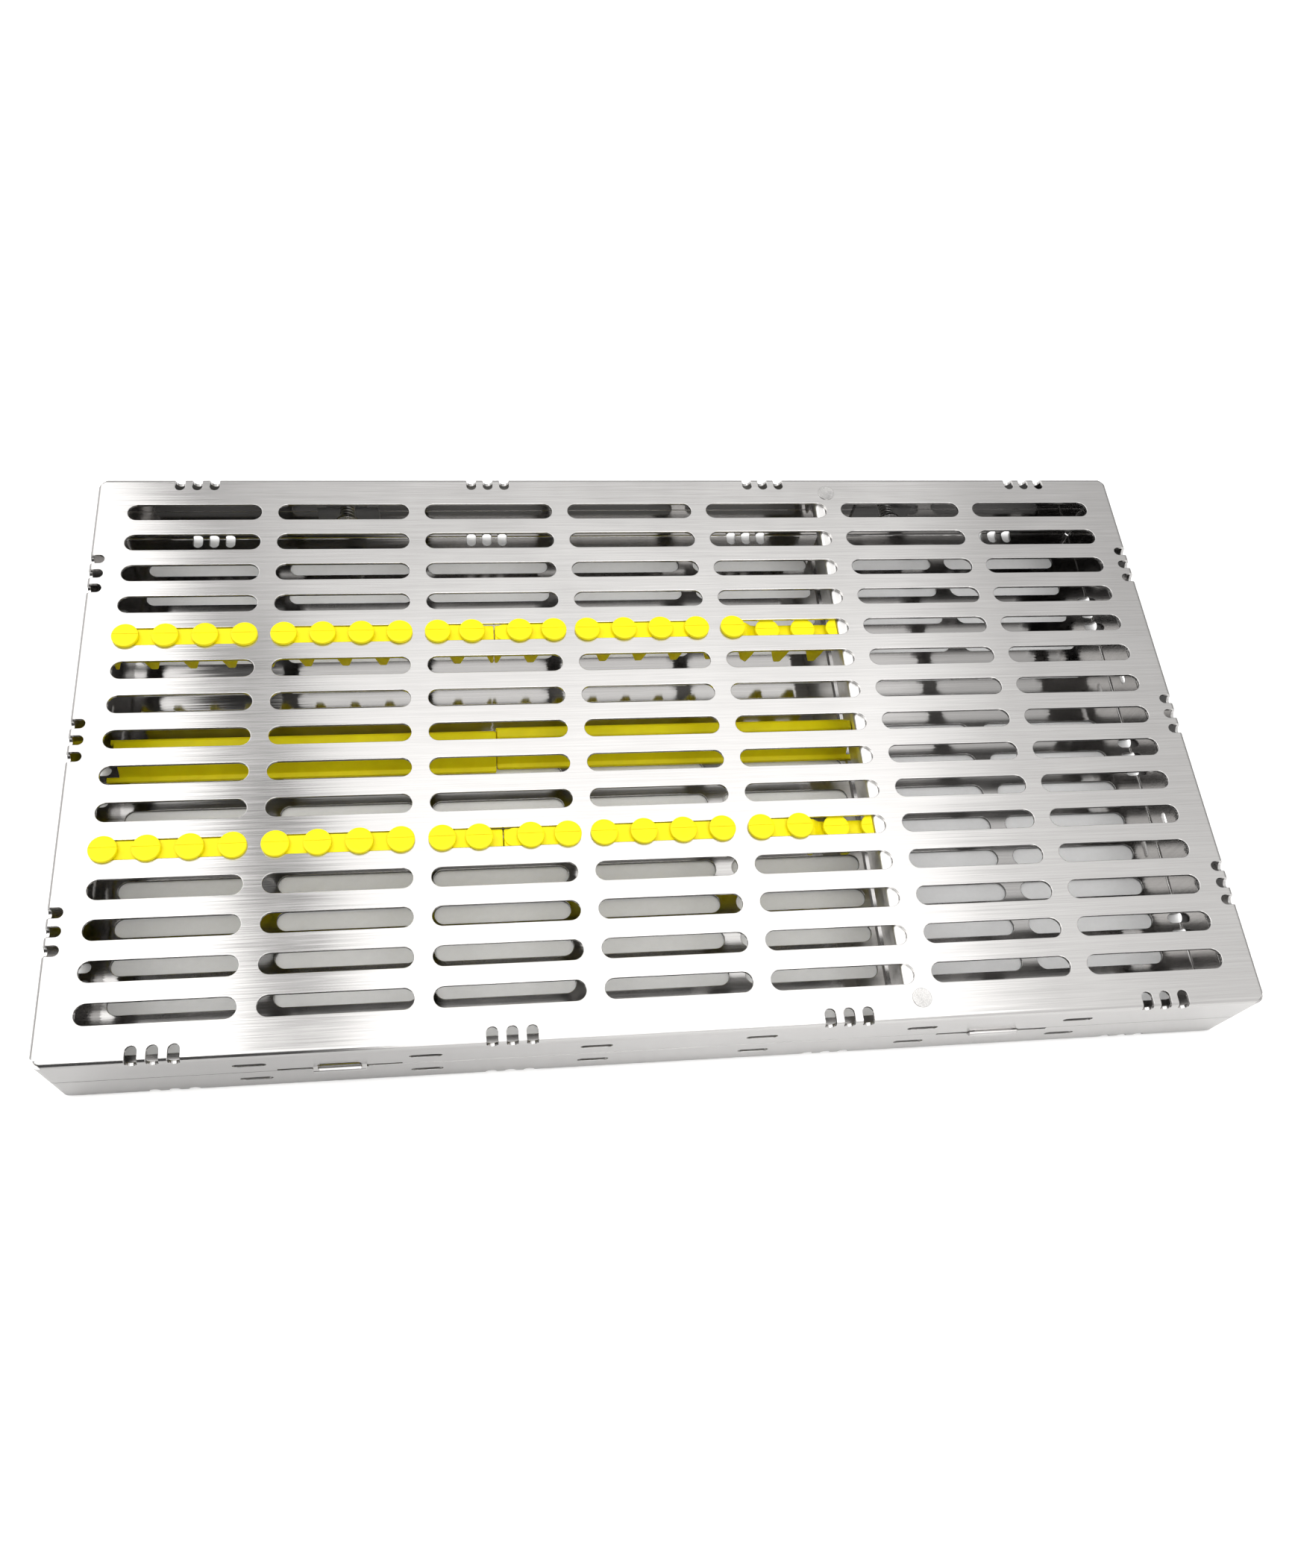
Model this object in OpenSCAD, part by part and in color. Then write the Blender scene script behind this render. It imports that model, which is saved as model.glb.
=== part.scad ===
// Perforated sheet-metal instrument tray that closes like a book: two folded shells, a lift-and-turn
// hinge rolled from the shells' own rims, two spring latches, silicone instrument rails and a divider.
// X runs along the length, Y from the hinge side to the latch side, Z up from the face it rests on.

/* [Case] */
// Length of the closed case
case_l = 366; // [364:1:372]
// Width of the closed case, from hinge side to latch side
case_w = 204; // [203:1:208]
// Height of the closed case over both panels
case_h = 34; // [33:0.5:38]
// Thickness of the sheet
sheet_t = 1; // [0.8:0.1:1.1]
// Outer radius of the fold between a panel and its walls
fold_r = 1.6; // [1.4:0.1:2]
// Outer radius of the upright corners
corner_r = 3; // [2.5:0.1:3.5]
// Length cut off each panel corner, measured along the edge
corner_cut = 3.4; // [3.2:0.1:4]
// Gap between the rims of the closed shells
seam_gap = 0.3; // [0.1:0.05:0.3]

/* [Panel slots] */
// Distance between the centres of neighbouring slot columns
slot_pitch_x = 50; // [49:0.5:50.5]
// Distance between the centres of neighbouring slot rows
slot_pitch_y = 12.5; // [12:0.1:12.6]
// Length of a slot from end to end
slot_l = 44.5; // [40:0.5:45]
// Width of a slot
slot_w = 6.4; // [5:0.1:7]

/* [Edge notches] */
// Width of a notch
notch_w = 3.4; // [3:0.1:4]
// Distance between the notches of one group of three
notch_pitch = 5.8; // [5.4:0.1:7]
// How far a notch runs into the panel from the edge
notch_reach = 5; // [4.5:0.1:6]
// How far a notch runs down the wall
notch_drop = 3; // [2.8:0.1:4]

/* [Wall slots] */
// Length of a wall slot
wall_slot_l = 9.6; // [8:0.2:11]
// Height of a wall slot
wall_slot_h = 2.8; // [2:0.1:3.2]
// Distance from the seam to the middle of a wall slot
wall_slot_rise = 7.6; // [7:0.1:9]

/* [Hinge] */
// Distance of each hinge knuckle from the middle of the case
hinge_x = 100; // [95:1:104]
// How far the hinge axis lies outside the front wall
hinge_out = 0.45; // [0.4:0.05:0.5]
// Radius of the hinge bar
bar_r = 0.85; // [0.75:0.05:0.9]
// Running clearance between bar and hook
bar_clear = 0.08; // [0.04:0.01:0.1]
// Thickness of the hook rolled round the bar
hook_t = 0.8; // [0.6:0.05:0.9]
// Length of the window above the bar
window_l = 12.6; // [11:0.1:14]
// Height of the window above the bar
window_h = 3.6; // [3.4:0.1:4]
// Length of the relieved rim beside a bar
recess_l = 36; // [30:1:40]
// Depth of the relieved rim beside a bar
recess_h = 1.7; // [1.4:0.1:2]

/* [Latches] */
// Distance of each latch from the middle of the case
latch_x = 100; // [95:1:104]
// Height of the latch stud above the seam
stud_rise = 4; // [3.5:0.1:5]
// Radius of the latch stud
stud_r = 1.5; // [1.2:0.1:1.6]
// Distance from the wall to the inner end of the stud
stud_reach = 9.4; // [9:0.1:10]
// Radius of the washer that holds the spring
washer_r = 4.25; // [3.8:0.05:4.5]
// Outer radius of the spring
spring_r = 2.65; // [2.5:0.05:2.8]
// Wire radius of the spring
spring_wire_r = 0.35; // [0.3:0.05:0.4]
// Number of turns of the spring
spring_turns = 5; // [4:1:6]
// Width of the latch plate
plate_w = 22; // [20:0.5:23]
// How far the plate reaches below the seam
plate_drop = 6.6; // [6.2:0.1:7]
// How far the plate reaches above the seam
plate_rise = 9; // [8.5:0.1:9.5]
// Length of the push nib that shows outside
nib_l = 11.2; // [10:0.1:12]
// Height of the push nib
nib_h = 2.4; // [2:0.1:2.6]

/* [Divider] */
// Place of the divider's lip along the case
divider_x = 69; // [68.8:0.1:70]
// Thickness of the divider sheet
divider_t = 0.9; // [0.8:0.1:1]
// Height of the divider's blade, hanging from the top panel
divider_h = 29; // [26:0.5:29.5]
// Height of the lip on the other edge of the divider's flange
lip_h = 3.6; // [3:0.1:4]
// Width over the lip and the blade
channel_w = 7.2; // [7:0.1:7.4]
// Width of the flange at its riveted ends
flange_w = 8.4; // [8:0.1:8.6]
// Radius of a divider rivet's head
rivet_r = 3; // [2.8:0.1:3.1]

/* [Silicone rails] */
// Distance of each comb from the middle of the case, in slot rows
comb_rows = 3; // [2:1:4]
// Radius of a comb button
button_r = 4.25; // [4:0.05:4.4]
// Height of a comb button over the panel
button_h = 1.3; // [1:0.1:1.8]
// Depth of a comb below the top panel's outer face
comb_depth = 15.6; // [15:0.1:16]
// Thickness of a comb from front to back
comb_t = 6.2; // [5.6:0.1:6.2]
// Place of the hold-down bar, in slot rows from the middle
bar_row = 1; // [0:1:1]
// Distance from the bar's row of ribs forward to the middle of the bar
bar_off = 3.5; // [0:0.5:4]
// Height of the hold-down bar over the floor
bar_h = 12; // [10:0.5:15.2]
// Right-hand end of the hold-down bar
bar_end_x = 74.2; // [60:0.1:74.2]

/* [Hidden] */
$fn = 64;
eps = 0.01;
cols = 7;
rows = 15;
pan_h = case_h / 2;
seam_z = case_h / 2;
flat_l = case_l - 2 * corner_r;
flat_w = case_w - 2 * corner_r;
front_y = -case_w / 2;
rear_y = case_w / 2;
rear_in_y = rear_y - sheet_t;
slot_clear = 0.1;
fill_l = slot_l - 2 * slot_clear;
fill_w = slot_w - 2 * slot_clear;
fill_sunk = 0.5;

hook_in_r = bar_r + bar_clear;
hook_out_r = hook_in_r + hook_t;
hook_l = window_l - 0.6;
bar_proud = hinge_out + bar_r;
ear_t = 1.4;
bar_l = window_l + 2 * ear_t;
rim_notch_l = bar_l + 0.8;
rim_notch_h = 1.2;

hook_from = 62;
hook_to = 245;

plate_t = 1;
plate_gap = 0.12;
plate_tab = [4, 3.5];
plate_out_y = rear_in_y - plate_gap;
plate_in_y = plate_out_y - plate_t;
nib_drop = 4.7;
nib_clear = 0.3;
stud_end_y = rear_in_y - stud_reach;
stud_lip_t = 0.6;
stud_lip_r = 2.3;
stud_bore_r = 0.8;
washer_t = 0.8;
press_clear = 0.02;
slide_clear = 0.06;
washer_y = stud_end_y + stud_lip_t;
stud_head = [2.6, 0.6];
spring_play = 0.02;
spring_start_y = washer_y + washer_t + spring_wire_r + spring_play;
spring_len = plate_in_y - spring_wire_r - spring_play - spring_start_y;

rivet_x = divider_x + flange_w / 2;
rivet_y = rear_y - 6.8;
rivet_shank_r = 1.6;
rivet_head_t = 0.25;
rivet_foot = [2.4, 0.6];
divider_end_gap = 2;

buttons = 20;
split_i = buttons / 2;
cell = slot_pitch_x / 4;
split_x = -slot_pitch_x;
first_button_x = split_x - (split_i - 0.5) * cell;
split_gap = 0.3;
comb_end_x = divider_x - divider_t / 2 - split_gap;
comb_start_x = first_button_x - cell / 2;
comb_notch_r = 3.5;
comb_tip = 2.2;
comb_top = pan_h - sheet_t;
comb_tall = comb_depth - sheet_t;
comb_notch_top = 6;
unseated_drop = button_h + sheet_t + 0.2;
spread = 1.2;

bar_foot_half = 8;
bar_body_half = 6.2;
bar_top_half = 1.6;
bar_foot_h = 1.2;
bar_edge_r = 1;
bar_stagger = 1.2;
bar_start_x = comb_start_x;
bar_toe_l = 4;
bar_toe_w = 1.8;
blade_half = rivet_y - rivet_foot[0] - 0.4;

// A straight slot outline with round ends, centred, running along X.
module obround(length, width) {
    square([length - width, width], center = true);
    for (side = [-1, 1])
        translate([side * (length - width) / 2, 0])
            circle(d = width);
}

// Turns a flat shape so that its x and y become Y and Z, and gives it a length along X.
module along_x(length) {
    rotate([90, 0, 90])
        linear_extrude(length, center = true)
            children();
}

// Turns a flat shape so that its x and y become X and Z, and gives it a depth along Y.
module along_y(depth) {
    rotate([90, 0, 0])
        linear_extrude(depth, center = true)
            children();
}

module slot_at(col, row) {
    translate([(col - (cols - 1) / 2) * slot_pitch_x, (row - (rows - 1) / 2) * slot_pitch_y])
        children();
}

// Section through a wall and its fold: outwards from the corner centre, and up from the seam.
module fold_section() {
    bend = [corner_r - fold_r, pan_h - fold_r];
    translate([0, pan_h - sheet_t])
        square([bend[0], sheet_t]);
    translate([corner_r - sheet_t, seam_gap / 2])
        square([sheet_t, bend[1] - seam_gap / 2]);
    translate(bend)
        intersection() {
            difference() {
                circle(fold_r);
                circle(fold_r - sheet_t);
            }
            square(fold_r);
        }
}

// The blank pressed into a pan: panel, four walls and four corners, before any holes.
module folded_sheet() {
    translate([0, 0, pan_h - sheet_t])
        linear_extrude(sheet_t)
            difference() {
                square([flat_l, flat_w], center = true);
                for (col = [0 : cols - 1], row = [0 : rows - 1])
                    slot_at(col, row)
                        obround(slot_l, slot_w);
            }
    for (side = [0, 1]) {
        mirror([0, side, 0])
            translate([0, flat_w / 2, 0])
                along_x(flat_l)
                    fold_section();
        mirror([side, 0, 0])
            translate([flat_l / 2, 0, 0])
                rotate(-90)
                    along_x(flat_w)
                        fold_section();
        for (end = [0, 1])
            mirror([side, 0, 0])
                mirror([0, end, 0])
                    translate([flat_l / 2, flat_w / 2, 0])
                        rotate_extrude(angle = 90)
                            fold_section();
    }
}

// Cutter for one notch across the fold of a wall whose outer face is at y = 0.
module notch() {
    round_r = notch_w / 2;
    inner = notch_reach - round_r;
    translate([0, 0, pan_h - fold_r])
        linear_extrude(fold_r + 1) {
            translate([-round_r, -inner])
                square([notch_w, inner + 1]);
            translate([0, -inner])
                circle(round_r);
        }
    along_y(2 * fold_r) {
        translate([-round_r, pan_h - notch_drop + round_r])
            square([notch_w, notch_drop]);
        translate([0, pan_h - notch_drop + round_r])
            circle(round_r);
    }
}

module notch_group() {
    for (i = [-1 : 1])
        translate([i * notch_pitch, 0, 0])
            notch();
}

module wall_slot() {
    translate([0, 0, wall_slot_rise])
        along_y(4 * sheet_t)
            obround(wall_slot_l, wall_slot_h);
}

// Every opening of the long walls and short walls, and the cut corners.
module wall_openings() {
    for (turn = [0, 180])
        rotate(turn)
            translate([0, rear_y, 0]) {
                for (x = [-3, -1, 1, 3])
                    translate([x * slot_pitch_x, 0, 0])
                        notch_group();
                for (x = [-2.5, -1.5, -0.5, 0.5, 1.5, 2.5])
                    translate([x * slot_pitch_x, 0, 0])
                        wall_slot();
            }
    for (turn = [90, 270])
        rotate(turn)
            translate([0, case_l / 2, 0]) {
                for (y = [-5, 0, 5])
                    translate([y * slot_pitch_y, 0, 0])
                        notch_group();
                for (y = [-2.5, 2.5])
                    translate([y * slot_pitch_y, 0, 0])
                        wall_slot();
            }
    for (sx = [-1, 1], sy = [-1, 1])
        translate([sx * case_l / 2, sy * case_w / 2, pan_h - fold_r + 2])
            rotate(45)
                cube([corner_cut * sqrt(2), corner_cut * sqrt(2), 4], center = true);
}

// The relieved rim, the window and, on the other knuckle, the notch that clears the bar.
module hinge_openings() {
    translate([-hinge_x, front_y, 0])
        along_y(4 * sheet_t) {
            square([recess_l, 2 * recess_h], center = true);
            translate([0, recess_h + window_h / 2 - 0.4])
                obround(window_l, window_h);
        }
    translate([hinge_x, front_y, 0])
        along_y(4 * sheet_t)
            square([rim_notch_l, 2 * rim_notch_h], center = true);
}

// The bar and the two ears that carry it, about the hinge axis.
module hinge_bar() {
    along_x(bar_l)
        circle(bar_r);
    for (side = [-1, 1])
        translate([side * (bar_l - ear_t) / 2, 0, 0])
            along_x(ear_t)
                polygon([
                    [0, 0],
                    [bar_r, 0],
                    [hinge_out + sheet_t, recess_h + 0.5],
                    [hinge_out, recess_h + 0.5],
                    [-bar_r * sin(35), bar_r * cos(35)]
                ]);
}

// The hook rolled from the wall of the other shell, about the hinge axis.
module hinge_hook() {
    far = 2 * hook_out_r;
    open_side = [for (i = [0 : 4]) hook_from + i * (hook_to - hook_from) / 4];
    along_x(hook_l) {
        difference() {
            circle(hook_out_r);
            circle(hook_in_r);
            polygon(concat([[0, 0]], [for (a = open_side) far * [cos(a), sin(a)]]));
        }
        difference() {
            translate([hinge_out, 0.6])
                square([sheet_t, rim_notch_h]);
            circle(hook_in_r);
        }
    }
}

// One shell with its panel uppermost and its rim on the seam. Both shells are this pressing.
module pan() {
    difference() {
        folded_sheet();
        wall_openings();
        hinge_openings();
    }
    translate([-hinge_x, front_y - hinge_out, 0])
        hinge_bar();
    translate([hinge_x, front_y - hinge_out, 0])
        hinge_hook();
}

module rivet_hole() {
    cylinder(r = rivet_shank_r + press_clear, h = 6 * sheet_t, center = true);
}

module top_shell() {
    color("#c9c8c6")
        translate([0, 0, seam_z])
            difference() {
                pan();
                for (side = [-1, 1])
                    translate([side * latch_x, rear_y, stud_rise])
                        along_y(4 * sheet_t)
                            circle(stud_r + press_clear);
                for (y = [-1, 1])
                    translate([rivet_x, y * rivet_y, pan_h])
                        rivet_hole();
            }
}

module bottom_shell() {
    color("#bdbcba")
        difference() {
            translate([0, 0, seam_z])
                rotate([0, 180, 0])
                    pan();
            for (side = [-1, 1])
                translate([side * latch_x, rear_y, seam_z - nib_drop])
                    along_y(4 * sheet_t)
                        obround(nib_l + 2 * nib_clear, nib_h + 2 * nib_clear);
        }
}

// Where each comb button stands. The two halves push the buttons next to the split apart.
function button_x(i) = first_button_x + i * cell
    + (i == split_i - 1 ? -spread : 0)
    + (i == split_i ? 1.8 * spread : 0)
    + (i == split_i + 1 ? spread : 0);

// One pitch of the comb, hanging down from the panel, with its round-topped instrument notch.
module comb_cell() {
    round_z = -comb_notch_top - comb_notch_r;
    tip_half = (cell - comb_tip) / 2;
    translate([0, 0, comb_top])
        along_y(comb_t)
            difference() {
                translate([-cell / 2 - eps, -comb_tall])
                    square([cell + 2 * eps, comb_tall]);
                translate([0, round_z])
                    circle(comb_notch_r);
                polygon([
                    [-comb_notch_r, round_z],
                    [comb_notch_r, round_z],
                    [tip_half, -comb_tall - eps],
                    [-tip_half, -comb_tall - eps]
                ]);
            }
}

// The outlines that fill one row of slots, all columns.
module slot_fills() {
    for (col = [0 : cols - 1])
        translate([(col - (cols - 1) / 2) * slot_pitch_x, 0])
            obround(fill_l, fill_w);
}

// A comb over all its cells. Buttons from number seated on have slipped below the panel.
module comb(row, seated) {
    strip_end = button_x(seated - 1) + button_r;
    translate([0, row * slot_pitch_y, seam_z]) {
        for (i = [0 : buttons - 1]) {
            sunk = i < seated ? 0 : unseated_drop;
            translate([first_button_x + i * cell, 0, -sunk])
                comb_cell();
            translate([button_x(i), 0, pan_h - sunk])
                cylinder(r = button_r, h = button_h);
            if (sunk > 0)
                translate([button_x(i), 0, comb_top - sunk])
                    cylinder(d = fill_w, h = sheet_t + eps);
        }
        translate([0, 0, comb_top])
            linear_extrude(sheet_t - fill_sunk)
                intersection() {
                    slot_fills();
                    translate([comb_start_x, -cell / 2])
                        square([strip_end - comb_start_x, cell]);
                }
        translate([0, 0, comb_top])
            linear_extrude(sheet_t + eps)
                intersection() {
                    slot_fills();
                    for (i = [0 : seated - 1])
                        translate([button_x(i), 0])
                            circle(d = fill_w);
                }
    }
}

// Keeps the part of a rail between two places along X.
module between(x0, x1) {
    intersection() {
        children();
        translate([x0, -case_w, -case_h])
            cube([x1 - x0, 2 * case_w, 3 * case_h]);
    }
}

module comb_left(row) {
    color("#f7e21a")
        between(comb_start_x, split_x - split_gap / 2)
            comb(row, buttons);
}

module comb_right(row, seated) {
    color("#f7e21a")
        between(split_x + split_gap / 2, comb_end_x)
            comb(row, seated);
}

// The hold-down bar: a sloped bar on a foot, pressed into one row of floor slots. At the end away from
// the split, which is toward -1 or 1 along X, the foot runs on in two toes.
module hold_down_bar(x0, x1, end, shift) {
    foot_l = x1 - x0;
    color("#e9d414")
        translate([(x0 + x1) / 2, bar_row * slot_pitch_y - bar_off + shift, sheet_t]) {
            along_x(foot_l) {
                polygon([
                    [-bar_body_half, bar_foot_h - eps],
                    [bar_body_half, bar_foot_h - eps],
                    [bar_top_half, bar_h - bar_edge_r],
                    [-bar_top_half, bar_h - bar_edge_r]
                ]);
                translate([0, bar_h - bar_edge_r])
                    obround(2 * bar_top_half, 2 * bar_edge_r);
                translate([-bar_foot_half, 0])
                    square([2 * bar_foot_half, bar_foot_h]);
            }
            for (side = [-1, 1])
                translate([
                    end * (foot_l / 2 + bar_toe_l / 2 - eps),
                    side * (bar_foot_half - bar_toe_w / 2),
                    bar_foot_h / 2
                ])
                    cube([bar_toe_l, bar_toe_w, bar_foot_h], center = true);
        }
    color("#e9d414")
        translate([0, bar_row * slot_pitch_y, 0])
            between(x0, x1)
                linear_extrude(sheet_t + eps)
                    slot_fills();
}

// A leg folded down from the divider's flange, its outer face at zero.
module divider_leg(height) {
    bend = divider_t + 0.4;
    top = case_h - sheet_t;
    translate([0, top - height])
        square([divider_t, height - bend]);
    translate([bend, top - bend])
        intersection() {
            difference() {
                circle(bend);
                circle(bend - divider_t);
            }
            translate([-bend, 0])
                square(bend);
        }
}

// The divider: a flange under the top panel with a low lip on one edge and the deep blade on the other.
// Beyond the blade the flange is flat and wider, for the rivets.
module divider() {
    bend = divider_t + 0.4;
    top = case_h - sheet_t;
    half = rear_in_y - divider_end_gap;
    color("#b5b4b2")
        difference() {
            translate([divider_x - divider_t / 2, 0, 0]) {
                along_y(2 * half) {
                    divider_leg(lip_h);
                    translate([bend, top - divider_t])
                        square([channel_w - 2 * bend, divider_t]);
                }
                along_y(2 * blade_half)
                    translate([channel_w, 0])
                        mirror([1, 0])
                            divider_leg(divider_h);
                for (y = [-1, 1])
                    translate([bend, y * (half + blade_half) / 2, top - divider_t / 2])
                        translate([(flange_w - bend) / 2, 0, 0])
                            cube([flange_w - bend, half - blade_half - 0.4, divider_t], center = true);
            }
            for (y = [-1, 1])
                translate([rivet_x, y * rivet_y, top])
                    rivet_hole();
        }
}

module divider_rivets() {
    grip = sheet_t + divider_t;
    color("#d4d3d1")
        for (y = [-1, 1])
            translate([rivet_x, y * rivet_y, case_h]) {
                cylinder(r = rivet_r, h = rivet_head_t);
                translate([0, 0, -grip])
                    cylinder(r = rivet_shank_r, h = grip + eps);
                translate([0, 0, -grip - rivet_foot[1]])
                    cylinder(r = rivet_foot[0], h = rivet_foot[1]);
            }
}

// Puts the latch parts of one side in place: seam height, Y as in the case.
module at_latch(side) {
    translate([side * latch_x, 0, seam_z])
        children();
}

// Lays a round part along the stud: its own +Z becomes +Y, starting at a place along Y.
module on_stud(y) {
    translate([0, y, stud_rise])
        rotate([-90, 0, 0])
            children();
}

// The sliding plate, with the nib that is pushed from outside and two tabs folded inwards.
module latch_plate(side) {
    color("#c2c1bf")
        at_latch(side) {
            difference() {
                translate([-plate_w / 2, plate_in_y, -plate_drop])
                    cube([plate_w, plate_t, plate_drop + plate_rise]);
                on_stud(plate_in_y - 1)
                    cylinder(r = stud_r + slide_clear, h = plate_t + 2);
            }
            translate([0, (plate_out_y + rear_y + bar_proud) / 2, -nib_drop])
                along_y(rear_y + bar_proud - plate_out_y + 2 * eps)
                    obround(nib_l, nib_h);
            for (x = [-1, 1])
                translate([x * (plate_w - plate_tab[0]) / 2, plate_in_y - plate_tab[1] / 2, plate_rise - plate_t / 2])
                    cube([plate_tab[0], plate_tab[1] + 2 * eps, plate_t], center = true);
        }
}

// The hollow rivet on which the plate slides, with its head outside the wall.
module latch_stud(side) {
    color("#cfcecb")
        at_latch(side)
            difference() {
                union() {
                    on_stud(stud_end_y)
                        cylinder(r = stud_r, h = rear_y - stud_end_y + eps);
                    on_stud(stud_end_y)
                        cylinder(r = stud_lip_r, h = stud_lip_t);
                    on_stud(rear_y)
                        cylinder(r = stud_head[0], h = stud_head[1]);
                }
                on_stud(stud_end_y - 1)
                    cylinder(r = stud_bore_r, h = 5);
            }
}

module latch_washer(side) {
    color("#dcdbd8")
        at_latch(side)
            on_stud(washer_y)
                difference() {
                    cylinder(r = washer_r, h = washer_t);
                    translate([0, 0, -1])
                        cylinder(r = stud_r + press_clear, h = washer_t + 2);
                }
}

// A coil made of half turns, each tilted so that it meets the next one end to end.
module latch_spring(side) {
    half_rise = spring_len / (2 * spring_turns);
    coil_r = spring_r - spring_wire_r;
    tilt = atan(half_rise / 2 / coil_r);
    ring_r = coil_r / cos(tilt);
    color("#9a9a98")
        at_latch(side)
            on_stud(spring_start_y)
                for (i = [0 : 2 * spring_turns - 1])
                    translate([0, 0, (i + 0.5) * half_rise])
                        rotate([0, tilt, 180 * i])
                            rotate_extrude(angle = 180)
                                translate([ring_r, 0])
                                    circle(spring_wire_r, $fn = 24);
}

top_shell();
bottom_shell();
comb_left(comb_rows);  // rear_comb_left
comb_right(comb_rows, buttons - 3);  // rear_comb_right
comb_left(-comb_rows);  // front_comb_left
comb_right(-comb_rows, buttons - 2);  // front_comb_right
hold_down_bar(bar_start_x, split_x - split_gap / 2, -1, 0);  // hold_down_bar_left
hold_down_bar(split_x + split_gap / 2, bar_end_x, 1, bar_stagger);  // hold_down_bar_right
divider();
divider_rivets();
latch_plate(-1);  // latch_left_plate
latch_stud(-1);  // latch_left_stud
latch_spring(-1);  // latch_left_spring
latch_washer(-1);  // latch_left_washer
latch_plate(1);  // latch_right_plate
latch_stud(1);  // latch_right_stud
latch_spring(1);  // latch_right_spring
latch_washer(1);  // latch_right_washer
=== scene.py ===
"""Looks for the perforated instrument tray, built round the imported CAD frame. All sizes are in metres."""

import math

import bmesh
import bpy
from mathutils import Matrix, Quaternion, Vector


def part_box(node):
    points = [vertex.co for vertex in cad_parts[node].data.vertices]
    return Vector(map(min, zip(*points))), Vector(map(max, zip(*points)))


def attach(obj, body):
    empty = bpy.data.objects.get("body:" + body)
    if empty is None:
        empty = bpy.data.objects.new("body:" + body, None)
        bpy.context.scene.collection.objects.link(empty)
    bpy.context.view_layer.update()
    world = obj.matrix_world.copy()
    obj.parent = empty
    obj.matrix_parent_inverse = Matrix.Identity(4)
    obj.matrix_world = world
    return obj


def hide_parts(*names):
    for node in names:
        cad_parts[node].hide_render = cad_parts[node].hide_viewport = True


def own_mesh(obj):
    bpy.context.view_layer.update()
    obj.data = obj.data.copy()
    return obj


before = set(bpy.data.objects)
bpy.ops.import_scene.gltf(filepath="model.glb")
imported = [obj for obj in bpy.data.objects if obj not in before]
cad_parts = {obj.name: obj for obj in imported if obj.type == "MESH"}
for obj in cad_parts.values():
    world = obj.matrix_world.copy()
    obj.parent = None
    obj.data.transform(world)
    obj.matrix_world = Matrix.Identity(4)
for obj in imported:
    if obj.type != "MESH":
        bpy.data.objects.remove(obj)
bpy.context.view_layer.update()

MM = 0.001

# Sizes that the parts share, as in the CAD source.
PITCH = 12.5 * MM
SLOT_PITCH_X = 4 * PITCH
SLOT_LENGTH = 44.5 * MM
SLOT_WIDTH = 6.4 * MM
SLOT_CLEAR = 0.1 * MM
SHEET = 1.0 * MM
CASE_HEIGHT = 34.0 * MM
BUTTON_RADIUS = 4.25 * MM
BUTTON_HEIGHT = 1.3 * MM
STRIP_SUNK = 0.5 * MM
COMB_DEPTH = 15.6 * MM
COMB_THICKNESS = 6.2 * MM
UNSEATED_DROP = BUTTON_HEIGHT + SHEET + 0.2 * MM
BUTTONS_PER_HALF = 10
SPREAD = 1.2 * MM
NOTCH_RADIUS = 3.5 * MM
NOTCH_TOP = 6.0 * MM
TIP_WIDTH = 2.2 * MM
SLIT_WIDTH = 0.14 * MM
SLIT_DEPTH = 0.22 * MM
SPRING_TURNS = 5

# Half sizes of the room inside the case, up to half way through the sheet, how much painted shade darkens
# the steel in there, and how much smoother it is.
INSIDE_X = 182.5 * MM
INSIDE_Y = 101.5 * MM
INSIDE_Z = CASE_HEIGHT / 2 - SHEET / 2
INSIDE_PAINTED_SHADE = 0.6
INSIDE_SMOOTHER = 0.5

# How far single grain lines of the brushed steel lean along the grain, as a slope.
LEAN = 0.006

# The camera: its place, its turn as a rotation vector in radians, and its lens on a 36 mm sensor.
CAMERA_PLACE = (-0.0639, -0.1999, 0.4025)
CAMERA_TURN = (0.4681, -0.1174, -0.0572)
CAMERA_LENS = 29.79
CAMERA_SHIFT = (0.0169, -0.0118)


# ---------------------------------------------------------------- node graphs

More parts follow.
